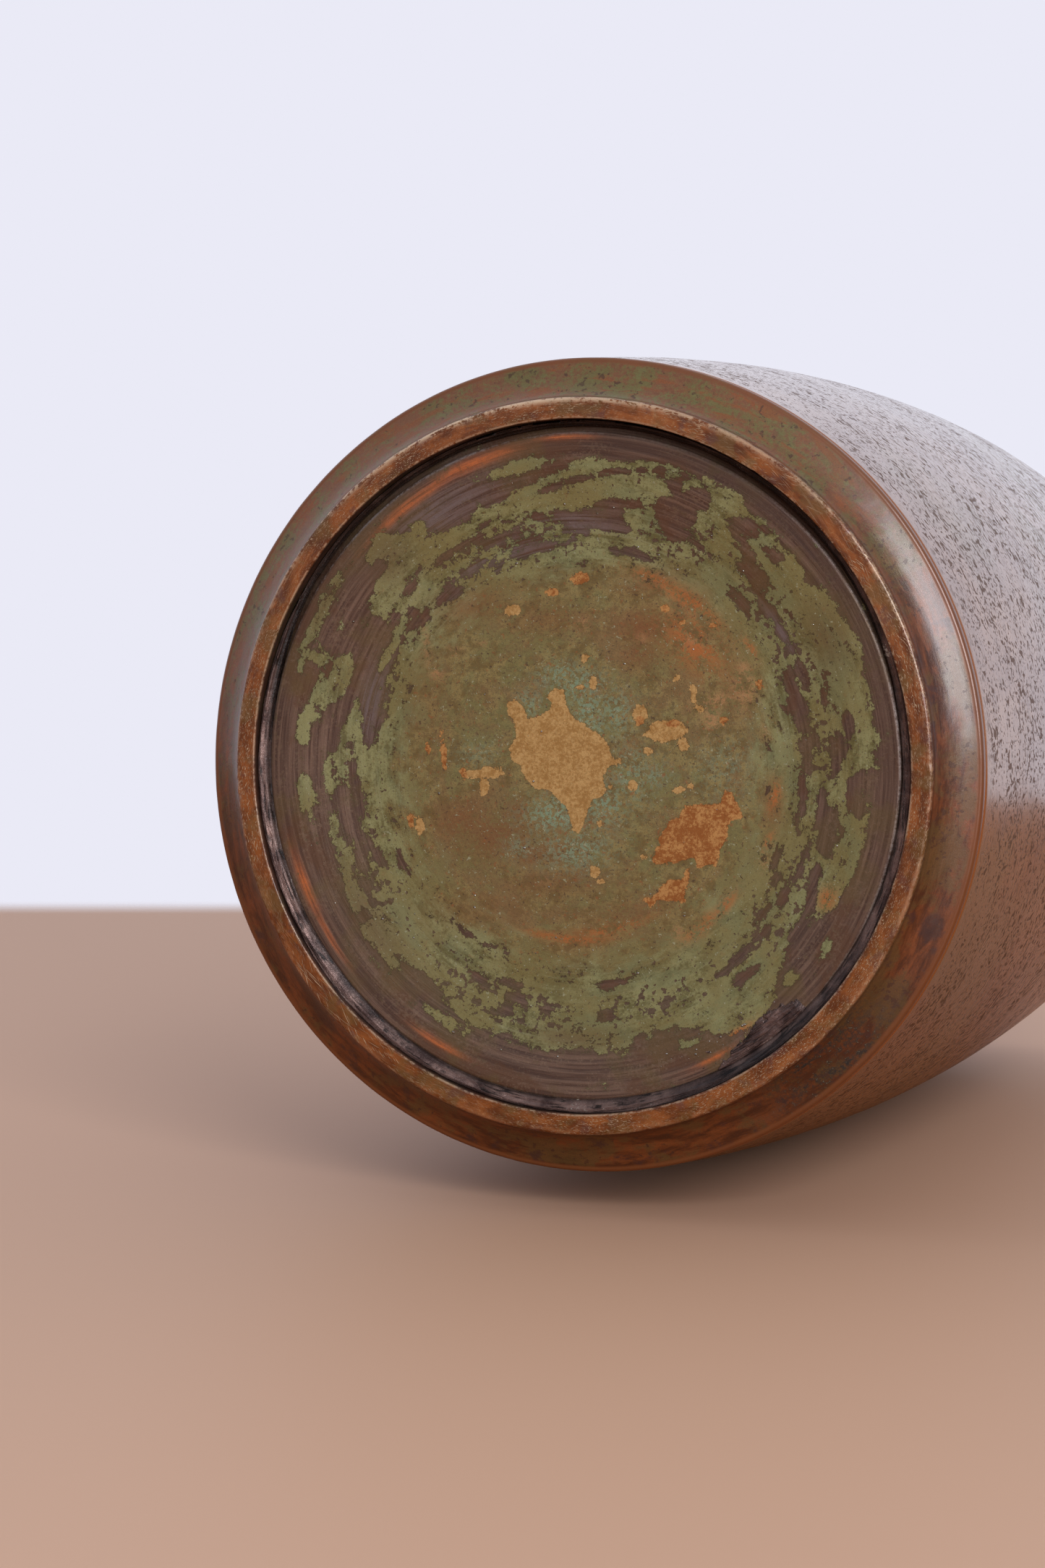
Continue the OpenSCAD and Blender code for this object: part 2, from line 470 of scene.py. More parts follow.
def foot_copper():
    """Red-brown turned copper with mottled patina, worn bright edges with a painted highlight on the ring's
    right side, scratches, sooty hollows, and near-black painted shade on inner walls.
    """
    p = Paint("turned_copper")
    face, edge, bead, inside, green, soot, spot = p.fields("face edge bead inside green soot spot")
    mottle = p.noise(p.round_axis(0.35), 0.55, 8, 0.68, 0.3)
    blotch = p.noise(p.swirled(p.mm, 0.4, 2), 0.2, 6, 0.62)
    fine = p.noise(p.mm, 1.7, 6, 0.7)
    grain = p.noise(p.mm, 7, 3, 0.6)
    broad = p.noise(p.moved(p.mm, 30), 0.06, 3)
    plum = p.between(p.noise(p.moved(p.mm, 70), 0.27, 6, 0.62), 0.56, 0.66, 0, 0.75)
    leafy = p.add(p.noise(p.moved(p.mm, 11), 0.3, 8, 0.7), p.spread((fine, 0.6)))
    sooted = p.times(soot, p.between(p.spread((fine, 1.2), (mottle, 1.4)), -0.2, 0.22))
    upper = p.coats(
        p.tones(p.add(blotch, p.spread((fine, 0.8))), 0.4, 0.62, (138, 92, 58), (120, 112, 60)),
        (p.between(mottle, 0.5, 0.62, 0, 0.85), (146, 82, 36)),
    )
    tan = p.coats(
        p.tones(mottle, 0.36, 0.64, (104, 54, 20), (160, 92, 38)),
        (p.between(blotch, 0.48, 0.62, 0, 0.65), (122, 92, 48)),
        (p.times(plum, 0.8), (106, 66, 56)),
        (p.between(p.add(fine, p.spread((mottle, 0.8))), 0.6, 0.75, 0, 0.45), (196, 146, 92)),
    )

    x, y, _ = p.split(p.mm)
    flat = p.vector("NORMALIZE", p.join(x, y, 0))
    radius = p.vector("LENGTH", p.join(x, y, 0))
    shown = p.most(face, edge)
    scratches = 0
    for across, along, lean in ((150, 0.8, 6), (105, 0.5, -9)):
        sx, sy, _ = p.split(p.vector("SCALE", flat, scale=across))
        leaning = p.times(radius, lean)
        place = p.join(p.add(sx, leaning), p.add(sy, leaning), p.times(radius, along))
        scratches = p.most(scratches, p.between(p.noise(place, 1, 1, 0.5), 0.635, 0.68))
    sparse = p.between(p.noise(p.moved(p.mm, 5), 0.12, 3), 0.42, 0.6, 0.25, 1)
    scratches = p.times(p.times(scratches, shown), sparse)
    turned = p.noise(p.round_axis(0.03), 5, 3, 0.6)
    wear_and_highlight = p.add(p.times(turned, 0.7), p.spread((fine, 1.6), (mottle, 1.6)))
    speck = p.between(p.add(p.noise(p.moved(p.mm, 17), 1.1, 3, 0.6), p.spread((blotch, 0.5))), 0.63, 0.67)
    speck = p.times(speck, p.math("SUBTRACT", 1, p.most(face, bead)))
    colour = p.coats(
        p.tones(mottle, 0.36, 0.64, (78, 40, 20), (138, 74, 32)),
        (p.between(p.add(blotch, p.spread((broad, 0.8), (mottle, 0.5))), 0.47, 0.62, 0, 0.7), (98, 78, 42)),
        (plum, (70, 44, 42)),
        (p.times(green, p.between(fine, 0.3, 0.55, 0.6, 0.9)), upper),
        (p.times(p.times(green, p.between(leafy, 0.55, 0.68)), 0.45), (120, 124, 72)),
        (p.between(grain, 0.35, 0.7, 0, 0.3), (62, 40, 28)),
        (sooted, (38, 34, 29)),
        (p.times(soot, p.between(p.spread((grain, 1), (fine, 1.4)), 0.2, 0.34)), (132, 126, 102)),
        (p.times(spot, p.between(fine, 0.3, 0.6, 0.5, 0.8)), (66, 42, 38)),
        (p.times(face, 0.92), tan),
        (p.times(p.times(p.between(turned, 0.62, 0.72), shown), 0.35), (188, 146, 102)),
        # Light worn edge lines; on the right side of the ring's outer edge this is also a painted highlight.
        (p.times(edge, p.between(wear_and_highlight, 0.22, 0.42)), (236, 208, 172)),
        (p.times(scratches, 0.7), (226, 198, 160)),
        (p.times(bead, 0.8), (128, 74, 38)),
        # Near-black painted shade on the ring's inner wall and in the mouth's bore.
        (inside, (30, 21, 17)),
        (p.times(speck, 0.7), (74, 46, 34)),
    )
    dulled = p.most(p.most(sooted, p.times(green, 0.5)), inside)
    rough = p.between(p.add(mottle, p.spread((fine, 0.5))), 0.35, 0.75, 0.3, 0.5)
    height = p.add(p.times(fine, 0.4), p.times(mottle, 0.5))
    height = p.add(p.add(height, p.times(scratches, -0.4)), p.times(turned, 0.15))
    return p.finish(
        colour,
        p.add(p.blend(bead, rough, 0.4), p.times(dulled, 0.22)),
        p.blend(bead, p.blend(dulled, 0.2, 0.1), 0.2),
        p.bump(p.times(height, p.blend(bead, 1, 0.25)), 0.09),
        Coat_Weight=p.times(p.blend(dulled, 0.7, 0.35), p.blend(p.most(face, speck), 1, 0.6)),
        Coat_Roughness=0.2,
        Coat_IOR=1.55,
    )


def disc_patina():
    """Green patina flaking off dark oxide, with bare ochre and rusty patches, a painted warm reflection on
    the rolled edge and a painted highlight along its crest.
    """
    p = Paint("patinated_disc")
    cover, flaked, ochre, rust, faint, stain, orange, teal, glow, dark, shine, slate, olive_tint = p.fields(
        "cover flaked ochre rust faint stain orange teal glow dark shine slate olive"
    )
    x, y, _ = p.split(p.mm)
    radius = p.vector("LENGTH", p.join(x, y, 0))
    polar = p.round_axis(0.3)
    swept = p.noise(polar, 0.5, 9, 0.68, 0.1)
    ragged = p.noise(p.swirled(p.mm, 0.8, 1), 0.55, 9, 0.7)
    fine = p.noise(p.mm, 2.4, 6, 0.72)
    grain = p.noise(p.mm, 9, 3, 0.6)
    broad = p.noise(p.moved(p.mm, 20), 0.1)
    patchy = p.noise(p.moved(polar, 9), 0.22, 6, 0.62)
    spin = p.noise(p.round_axis(0.02), 2.6, 5, 0.7)
    crumbs = p.noise(p.moved(p.mm, 43), 1.9, 3, 0.65)
    blooms = p.noise(p.moved(p.mm, 61), 1.7, 3, 0.65)
    rusty = p.between(p.noise(p.moved(p.mm, 57), 1.3, 4, 0.65), 0.62, 0.66, 0, 0.6)

    oxide = p.coats(
        p.tones(spin, 0.36, 0.66, (94, 73, 63), (138, 112, 94)),
        (p.between(patchy, 0.5, 0.6, 0, 0.65), (112, 80, 58)),
        (p.between(broad, 0.5, 0.62, 0, 0.5), (122, 104, 66)),
        (p.between(p.add(fine, p.spread((swept, 0.8))), 0.5, 0.66, 0, 0.55), (150, 126, 104)),
        (p.times(dark, p.between(swept, 0.3, 0.65, 0.45, 0.8)), (78, 54, 44)),
        (p.times(olive_tint, 0.8), (108, 86, 54)),
        (p.times(slate, p.between(spin, 0.4, 0.55, 0.1)), (132, 118, 114)),
        # Painted warm reflection on the rolled edge.
        (p.times(glow, p.between(p.spread((spin, 1.6), (swept, 1.6)), -0.3, 0.25, 0.25)), (232, 132, 72)),
    )
    olive = p.coats(
        p.tones(ragged, 0.42, 0.58, (120, 98, 52), (156, 138, 84)),
        (p.between(p.add(swept, p.spread((broad, 0.8))), 0.46, 0.6, 0, 0.75), (128, 124, 74)),
        (p.between(p.add(patchy, p.spread((fine, 0.4))), 0.48, 0.62, 0, 0.6), (144, 108, 68)),
        (p.between(p.add(fine, p.spread((grain, 0.5))), 0.46, 0.62, 0, 0.55), (96, 84, 50)),
    )
    middle = p.add(radius, p.spread((swept, 12), (patchy, 16)))
    middle = p.between(middle, PLATEAU_R - 5, PLATEAU_R + 1, 1, 0)
    stained = p.times(stain, p.between(p.spread((ragged, 1.6), (fine, 1.2)), -0.4, 0.1, 0.1))
    tealed = p.between(p.spread((fine, 1.6), (blooms, 2.2)), -0.06, 0.14, 0.1)
    thick = p.add(crumbs, p.times(p.add(teal, p.spread((broad, 1))), 0.05))
    crumb = p.between(thick, 0.65, 0.68, 0, 0.7)
    leaf = p.coats(
        p.tones(p.add(swept, p.spread((fine, 0.5))), 0.4, 0.6, (104, 98, 54), (150, 148, 98)),
        (p.between(spin, 0.5, 0.68, 0, 0.5), (154, 153, 112)),
        (p.between(broad, 0.42, 0.6, 0, 0.75), (132, 120, 70)),
        (p.between(patchy, 0.5, 0.64, 0, 0.45), (126, 132, 90)),
        (p.times(olive_tint, p.between(swept, 0.35, 0.6, 0.4, 0.9)), (112, 92, 56)),
        (p.times(middle, 0.85), olive),
        (p.times(stained, 0.85), (130, 80, 42)),
        (p.times(orange, p.between(p.spread((swept, 1.8), (fine, 1.4)), -0.2, 0.15)), (182, 108, 50)),
        (p.times(teal, tealed), (138, 160, 128)),
        (p.between(p.spread((fine, 1), (ragged, 0.6)), 0.15, 0.2, 0, 0.8), (60, 48, 40)),
        (crumb, (176, 176, 140)),
        (p.between(crumbs, 0.33, 0.36, 0.75, 0), (78, 54, 38)),
        (p.times(rusty, p.blend(middle, 0.25, 1)), (150, 92, 48)),
    )

    flake_edge = p.add(cover, p.spread((swept, 2.6), (ragged, 2.6), (fine, 1.3), (spin, 0.4)))
    holes = p.add(p.noise(p.moved(p.round_axis(0.55), 31), 1.25, 4, 0.6), p.times(flaked, 0.12))
    covered = p.between(flake_edge, 0, 0.07)
    covered = p.times(covered, p.math("SUBTRACT", 1, p.between(holes, 0.66, 0.685)))
    ochre_edge = p.add(ochre, p.spread((ragged, 1.8), (fine, 0.9)))
    bare = p.between(ochre_edge, 0, 0.05)
    rusted = p.between(p.add(rust, p.spread((ragged, 2.2), (fine, 0.7))), 0, 0.06)
    sand = p.tones(p.add(fine, p.spread((ragged, 0.8))), 0.36, 0.66, (178, 134, 72), (214, 174, 110))
    ember = p.tones(p.add(ragged, p.spread((fine, 0.8))), 0.42, 0.62, (162, 98, 42), (206, 152, 88))
    faint = p.times(faint, p.between(p.spread((ragged, 1.6), (fine, 1.2)), -0.12, 0.12))
    colour = p.coats(
        p.mix(p.between(flake_edge, -0.5, 0, 0, 0.5), oxide, (98, 84, 58)),
        (covered, leaf),
        # Painted highlight along the crest of the rolled edge.
        (p.times(shine, p.between(p.spread((fine, 1.5), (swept, 1.5)), -0.25, 0.2)), (190, 180, 176)),
        (p.times(faint, 0.75), (190, 140, 92)),
        (p.times(p.between(ochre_edge, -0.07, 0), 0.35), (84, 66, 44)),
        (bare, sand),
        (rusted, ember),
        (p.between(grain, 0.4, 0.75, 0, 0.3), (66, 54, 40)),
    )
    shown = p.most(bare, rusted)
    rough = p.blend(covered, p.between(spin, 0.3, 0.7, 0.3, 0.46), p.between(fine, 0.3, 0.7, 0.46, 0.66))
    height = p.add(p.add(p.times(covered, 0.5), p.times(spin, 0.45)), p.times(fine, 0.3))
    height = p.add(p.add(height, p.times(shown, -0.4)), p.times(crumb, 0.3))
    metal = p.blend(shown, p.blend(covered, 0.4, 0.08), 0.25)
    return p.finish(colour, p.blend(shown, rough, 0.5), metal, p.bump(height, 0.1))


def dark_solder():
    """Old grey solder, smooth on its crest and streaked along the joint; its soot field darkens streaks on
    the run, and is near-black painted shade in the bead's sunken top and its crevice.
    """
    p = Paint("old_solder")
    soot, slate = p.fields("soot slate")
    mottle = p.noise(p.round_axis(0.3), 0.7, 7, 0.66)
    drawn = p.noise(p.round_axis(0.05), 5, 5, 0.68)
    fine = p.noise(p.mm, 3, 6, 0.7)
    colour = p.coats(
        p.tones(mottle, 0.36, 0.64, (84, 64, 60), (158, 130, 120)),
        (p.between(drawn, 0.5, 0.62, 0, 0.9), (28, 22, 20)),
        (p.times(slate, 0.85), p.tones(drawn, 0.38, 0.6, (66, 66, 68), (32, 32, 34))),
        # Near-black: dark streaks on the run, and painted shade on the bead.
        (p.times(soot, p.between(fine, 0.25, 0.6, 0.75)), (24, 19, 17)),
        (
            p.between(p.spread((fine, 1), (mottle, 1.2)), 0.24, 0.32),
            p.tones(mottle, 0.4, 0.6, (146, 122, 84), (196, 190, 178)),
        ),
    )
    height = p.add(p.add(p.times(fine, 0.5), mottle), p.times(drawn, -0.8))
    rough = p.between(fine, 0.3, 0.75, 0.2, 0.44)
    return p.finish(colour, rough, p.blend(soot, 0.6, 0.2), p.bump(height, 0.14))


def bare_metal(name, scale, detail, light, dark, rough, depth):
    """Bare metal with cloudy dull patches, and the least and most roughness given as a pair."""
    p = Paint(name)
    dull = p.noise(p.mm, scale, detail, 0.6)
    colour = p.tones(dull, 0.35, 0.65, light, dark)
    return p.finish(colour, p.between(dull, 0.3, 0.7, *rough), 0.9, p.bump(dull, depth))


# Pieces


def hump(*offsets):
    """1 where all offsets are 0, fading to about a third one unit away."""
    return np.exp(-sum(offset**2 for offset in offsets))


def round_bump(angle, at, half_width):
    """A smooth hump round the circle, 1 at the given angle, in degrees."""
    return hump(((angle - at + 180) % 360 - 180) / half_width)


def hammered_wall():
    outer = resample(wall_face(0), 0.95)
    inner = resample([point for point in wall_face(WALL_T) if point[1] > FOOT_H + 0.5], 5.0)
    start = np.array([[COLLAR_R + BRAZE_W, FOOT_H]])
    outline = np.concatenate([outer, inner[::-1], start])

    def relief(around, r, z):
        beaten_side = np.where(np.arange(len(outline))[:, None] < len(outer), 1.0, 0.6)
        hold = step(z, FOOT_H, FOOT_H + 6) * step(-z, -NECK_TOP, -NECK_TOP + 8)
        return beaten_side * hold * 0.07 * layered_noise(around, z / 9, 40, 11, 2)

    wall, places = lathe("hammered_wall", outline, 360, relief)
    outside = places[:, 1] > np.interp(places[:, 2], outer[:, 1], outer[:, 0]) - 0.5
    paint(wall, wall_copper(), worn=step(-places[:, 2], -FOOT_H - 0.5, -FOOT_H - 0.1) * outside)
    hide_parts("body_shell")
    return wall


def turned_foot():
    inner_break = 0.15
    cove_end_r = WALL_FOOT_R - CORNER_BEAD_R
    cove_top = FOOT_H - 2 * CORNER_BEAD_R
    ledge_z = FLANGE_Z + DISC_T
    ring_face = [[POCKET_R + inner_break, 0], [RING_R - RING_EDGE_R, 0]]
    outer = (
        arc([RING_R - RING_EDGE_R, RING_EDGE_R], RING_EDGE_R, -90, 0, 10)
        + [
            np.array([RING_R + (cove_end_r - RING_R) * out, RING_EDGE_R + (cove_top - RING_EDGE_R) * up])
            for out, up in cove_rise(30)
        ]
        + arc([cove_end_r, cove_top + CORNER_BEAD_R], CORNER_BEAD_R, -80, 0, 8)
    )
    back = [
        [WALL_FOOT_R, FOOT_H], [COLLAR_R, FOOT_H], [COLLAR_R, COLLAR_TOP - 0.4],
        [COLLAR_R - 0.4, COLLAR_TOP], [COLLAR_R - 2.4, COLLAR_TOP],
        [LEDGE_R, ledge_z + DISC_T + 0.6], [LEDGE_R, ledge_z], [POCKET_R, ledge_z],
    ]
    bore = resample([[POCKET_R, ledge_z], [POCKET_R, inner_break]], 0.4)[1:]
    outline = np.concatenate([resample(ring_face, 0.25), resample(outer, 0.16)[1:], np.array(back), bore])

    def relief(around, r, z):
        low = step(-z, -FOOT_H + 0.3, -FOOT_H + 1.0)
        dents = layered_noise(around, z / 3 + r / 3, 90, 21, 3)
        chips = np.minimum(0, layered_noise(around, r, 260, 33, 2) + 0.42)
        outer_edge = hump((r - RING_R + 0.3) / 0.5, (z - 0.3) / 0.5)
        inner_edge = hump((r - POCKET_R) / 0.25, z / 0.25)
        return low * (0.03 * dents + (0.4 * outer_edge + 0.35 * inner_edge) * chips - 0.03)

    foot, places = lathe("turned_foot", outline, 960, relief)
    _, r, z = places.T
    _, _, angle = seen(places)
    outer_edge = hump((r - RING_R + 0.35) / 0.4, (z - 0.2) / 0.35)
    upper_left = 0.12 + 0.88 * round_bump(angle, 350, 42)
    # A painted highlight along the ring's outer edge on the right side.
    painted_highlight_right = 0.3 * round_bump(angle, 75, 30)
    inner_edge = hump((r - POCKET_R - 0.1) / 0.12, z / 0.2)
    corner = step(r, cove_end_r - 0.35, cove_end_r) * step(z, cove_top - 0.4, cove_top)
    on_cove = step(z, 0.5, 1.5)
    greened = np.clip(np.cos(np.radians(angle - 350)) * 1.4, 0, 1) * (1 - 0.6 * round_bump(angle, 78, 20))
    spots = [(118, 51.6, 2.1, 1.4), (121, 53, 0.8, 0.5), (102, 53.2, 0.7, 0.4), (232, 50.6, 3, 1)]
    paint(
        foot,
        foot_copper(),
        face=step(-z, -0.45, -0.05) * step(r, POCKET_R, POCKET_R + 0.3),
        edge=np.clip(outer_edge * (upper_left + painted_highlight_right) + inner_edge * 0.5, 0, 1),
        bead=corner * step(r, RING_R + 1, RING_R + 2),
        # The ring's inner wall, painted near-black as shade.
        inside=step(-r, -POCKET_R - 0.05, -POCKET_R + 0.02) * step(z, 0.05, 0.25),
        green=on_cove * greened,
        soot=on_cove * np.clip(round_bump(angle, 143, 11) * 1.2, 0, 1),
        spot=on_cove * step(ring_patches(spots, angle, r), -0.1, 0.4),
    )
    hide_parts("foot_ring")
    return foot


def turned_mouth():
    bore_r = NECK_R - WALL_T - LIP_IN
    collar_r = NECK_R - WALL_T - BRAZE_W
    collar = [[bore_r, MOUTH_COLLAR_Z], [collar_r, MOUTH_COLLAR_Z], [collar_r, NECK_TOP]]
    outline = np.concatenate([
        np.array(collar + [[NECK_R + 0.2, NECK_TOP]]),
        resample(
            arc([LIP_R - 0.7, NECK_TOP + 0.9], 0.7, -70, 0, 8)
            + arc([LIP_R - 1.8, LIP_TOP - 1.8], 1.8, 0, 90, 12)
            + arc([bore_r + 1, LIP_TOP - 1], 1, 90, 180, 8),
            0.25,
        ),
        resample([[bore_r, LIP_TOP - 1.2], [bore_r, MOUTH_COLLAR_Z + 0.3]], 0.8),
    ])

    def relief(around, r, z):
        dents = layered_noise(around, z / 2 + r / 2, 70, 51, 3) - 1
        return 0.03 * step(z, NECK_TOP + 0.2, NECK_TOP + 1) * dents

    mouth, places = lathe("turned_mouth", outline, 480, relief)
    _, r, z = places.T
    paint(
        mouth,
        bpy.data.materials["turned_copper"],
        face=0.45 * step(z, LIP_TOP - 0.5, LIP_TOP - 0.1),
        edge=0.6 * hump((r - LIP_R + 0.5) / 0.4, (z - LIP_TOP + 0.6) / 0.5),
        # The bore below the lip, painted darker as shade.
        inside=0.5 * step(-z, -NECK_TOP - 1, -NECK_TOP + 1) * step(-r, -bore_r - 0.1, -bore_r + 0.1),
        green=0.3 + 0 * r,
    )
    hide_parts("mouth_ring")
    return mouth


# The outer edge of the green leaf, as seen from below with +Y up: clockwise angles from the top, in
# degrees, and radii in mm.
LEAF_EDGE = [
    (0, 38.4), (4, 39.6), (8, 40.2), (20, 41.4), (30, 42), (38, 41.6), (45, 41), (55, 40.6), (65, 41.2),
    (78, 41.6), (90, 40.9), (96, 40.5), (100, 40), (106, 40.2), (114, 40.2), (119, 39.8), (122, 38.9),
    (126, 37.4), (130, 36.4), (135, 37.8), (139, 38.4), (142, 40.7), (150, 40.9), (154, 40), (157, 38),
    (163, 36.9), (170, 36.2), (175, 37.4), (183, 37.9), (188, 37.2), (195, 38.4), (200, 37), (208, 37.9),
    (215, 37.4), (222, 36.8), (230, 38.5), (240, 38.4), (250, 37.5), (258, 36.4), (264, 35.9), (268, 35.2),
    (275, 35), (283, 34.7), (290, 33.6), (300, 33), (310, 33.6), (316, 37), (318, 41.2), (324, 41.4),
    (328, 39.6), (332, 36.9), (340, 36.4), (350, 36.9), (356, 37.7), (360, 38.4),
]
# Patches that follow the circle: a clockwise angle in degrees, a radius, half a length round the disc,
# half a width across it, all in mm, and how far the radius climbs with each degree.
BARE_PATCHES = [
    (9.5, 38.2, 6.4, 0.35, 0.14), (28, 36.2, 2.7, 2.6), (31.5, 38.7, 1.9, 1.5, 0.1), (30, 33.4, 1.4, 0.8),
    (26.5, 38.8, 1, 1.1), (17, 35.4, 4, 0.6, 0.15), (11, 32.3, 5, 1.3, -0.02), (3, 33.3, 1.4, 0.7),
    (14, 34.2, 1.6, 0.5, 0.1), (22.5, 29.3, 2.1, 0.6), (43, 38.9, 1.7, 0.9), (45, 37, 2.5, 0.9, -0.2),
    (49.5, 35, 2.5, 0.9, -0.1), (56, 33.4, 2, 0.5), (50.5, 38.9, 1.4, 0.9), (36.5, 33.2, 1.1, 0.35),
    (52, 31.1, 1.4, 0.5), (63.5, 33.1, 1.3, 0.5), (67, 33.3, 0.8, 0.4), (58, 39.8, 1, 0.6),
    (72.5, 33, 1.8, 0.9), (77.5, 31.2, 3.4, 0.8), (84, 31.3, 2.3, 0.5), (86, 37.6, 1.4, 0.9),
    (89.5, 35.1, 1.5, 0.7), (90.5, 31, 1.4, 0.9), (80.5, 35, 1, 0.4), (89, 33, 1, 0.7), (100, 39, 2.7, 2.3),
    (107, 35.4, 2.4, 1.5), (106, 33.7, 1.9, 0.6), (112, 35.4, 1.6, 0.9, 0.1), (119.5, 35.3, 1.3, 0.5),
    (123, 36.2, 2, 0.7, 0.1), (118.5, 33, 2.6, 0.6), (125.5, 32.8, 1.1, 0.6), (94.5, 31.5, 1.2, 0.4),
    (101, 31, 2.8, 0.35), (93, 35.6, 1.6, 0.5, -0.1), (133.5, 31.2, 1.3, 0.45), (118.5, 29.6, 1, 0.35),
    (123, 30.2, 0.9, 0.3), (142, 33.2, 3.3, 0.6), (143.5, 35.5, 1, 0.45), (176, 28.8, 1, 0.35),
    (177.5, 33.2, 0.7, 0.5), (203.5, 34.4, 1.2, 0.5), (193, 32.2, 1.4, 0.4), (200.5, 32.3, 1, 0.4),
    (201.8, 30.4, 1, 0.45), (206, 30.4, 1, 0.5), (212, 32, 1.1, 0.5), (215.5, 27.4, 1.4, 0.22),
    (221, 27.4, 1.1, 0.22), (223, 36.6, 2.4, 0.7), (241.7, 36.8, 1, 0.9), (243, 35, 1.9, 0.35),
    (247, 34.7, 2.2, 0.45), (253.5, 33.4, 4, 0.9, -0.1), (254, 31.6, 1.5, 0.6), (265, 33.6, 3.3, 1.3),
    (268, 31.7, 2, 0.6), (275, 32.6, 3.2, 0.35), (249, 28.6, 1.4, 0.3), (287, 30.2, 3.4, 1.4),
    (293, 31.5, 3, 1.4), (299, 31.4, 3, 2.4), (305, 32.2, 3.2, 2.2), (312, 31.5, 3, 1.8), (288, 29, 2, 0.8),
    (296, 29.3, 3, 0.9), (316, 29.4, 2.2, 0.7), (318.5, 33.4, 1.9, 0.7), (318.5, 38.5, 1.4, 0.8),
    (326, 29.5, 2, 0.7), (356.5, 33.3, 1.1, 0.6), (335, 33.4, 2.2, 0.3), (346, 32.2, 2.4, 0.3),
    (340, 30.6, 3.4, 0.35), (352, 29.6, 3, 0.35),
]
LEAF_ISLANDS = [
    (128.8, 41, 1, 0.5), (137.5, 40.2, 1.3, 1), (161.5, 39.1, 1.2, 0.5), (215, 39.1, 2.3, 0.6),
    (269.5, 39.1, 2.6, 1.3), (272, 35.6, 2.6, 0.5), (281.5, 39.2, 1, 0.9), (285, 39, 1.3, 1),
    (291, 38, 3, 1.3), (295, 36.3, 3.3, 1.6), (297.5, 39.3, 1.3, 2.1), (305, 41.8, 5.5, 0.6),
    (309.5, 36, 1.1, 0.7), (314, 35.4, 2.1, 1.2), (330.5, 38.2, 1.4, 1.1), (355, 40.3, 3.6, 0.7, 0.05),
    (302, 31.4, 1.1, 0.6), (309, 31.2, 2.7, 0.5), (316, 33.3, 1.2, 0.9), (307, 29.2, 3.6, 0.7),
    (286, 33, 2.6, 0.7),
]
SMALL_FLAKES = [
    (203, 33.5, 14, 4), (165, 32.5, 12, 3), (350, 31, 14, 4.5), (75, 33, 22, 4.5), (30, 33, 8, 4),
    (255, 33, 14, 4), (128, 33, 10, 4),
]
OLIVE_ARCS = [
    (69, 38, 4.5, 3), (240, 36.5, 9, 2.5), (322, 38.5, 4, 3.5), (185, 36, 7, 1.5), (308, 41.8, 6, 1),
]
ORANGE_ARCS = [
    (41, 26.6, 6.5, 1.1), (28, 27, 3, 0.7), (62, 28.4, 1.8, 0.5), (103, 27.2, 2.2, 0.8),
    (116, 27.8, 1.6, 0.6), (137, 27, 2.4, 0.7), (146, 26.8, 3, 0.9), (121, 38, 1.5, 1.2),
    (152, 40.9, 2.4, 0.6), (50, 23, 5, 3), (190, 23, 6, 0.6), (172, 22, 5, 0.6),
]
# Painted warm reflection on the disc's rolled edge, as patches that follow the circle.
PAINTED_REFLECTION_ARCS = [
    (334, 42.1, 7, 0.6, 0.02), (347, 42.7, 7, 0.75, 0.04), (3, 43.4, 4, 0.4), (253, 42.2, 5, 0.6),
    (242, 42.3, 4, 0.35), (213, 42, 3.5, 0.45), (159, 42.3, 2.8, 0.35, 0.05),
]
SLATE_ARCS = [(338, 38.8, 9, 2.6), (290, 31, 6, 1.6), (345, 30, 7, 2), (4, 31.5, 8, 2.5), (64, 33, 4, 1.2)]
# Shapes near the middle. Blots: x to the right, y up, half a width and half a height, in mm.
OCHRE_PATCH = [
    (-9.3, 9.7), (-8, 9.7), (-6.7, 8.3), (-6.5, 7), (-5.2, 7.1), (-3.3, 7.9), (-3, 8.8), (-3.9, 9.5),
    (-2.1, 10.8), (-0.8, 10.5), (-0.9, 8), (0.3, 6.3), (3, 4.3), (4.7, 2.5), (5, 0.8), (6.3, 0.7), (6, -0.1),
    (4.3, -0.5), (3.3, -1.3), (3.7, -3.3), (3.2, -4.3), (1.7, -4.3), (0.8, -6.3), (-0.7, -8.7), (-1.7, -8.1),
    (-2.1, -5.3), (-4.3, -2.8), (-6.3, -2.3), (-7.7, -0.7), (-7.9, 0.7), (-9.3, 1.7), (-9.7, 3.3),
    (-8.3, 4.8), (-8.5, 6.7), (-9.3, 7.7),
]
RUST_PATCH = [
    (9.3, -13.7), (8.9, -12.7), (10.3, -11), (9.7, -10.3), (10.7, -9.7), (11.7, -8), (13.3, -7.7),
    (14.3, -6.3), (19, -6.3), (19.7, -4.7), (20.7, -5), (21.3, -6.3), (21.9, -8.3), (20.3, -8.7), (19.7, -10),
    (19.3, -11.7), (18.3, -12.7), (17.7, -14.3), (15.3, -14.5), (14.8, -13.3), (12.7, -13.7), (10, -13.7),
]
LOW_RUST_PATCH = [
    (7.3, -18.1), (9, -17.7), (9.9, -16.7), (11, -15.7), (13.3, -15.7), (13.7, -14.7), (14.3, -14.1),
    (14, -16), (13.3, -17.3), (13.2, -19), (11.3, -18.7), (9.3, -18.5), (8.3, -19.3),
]
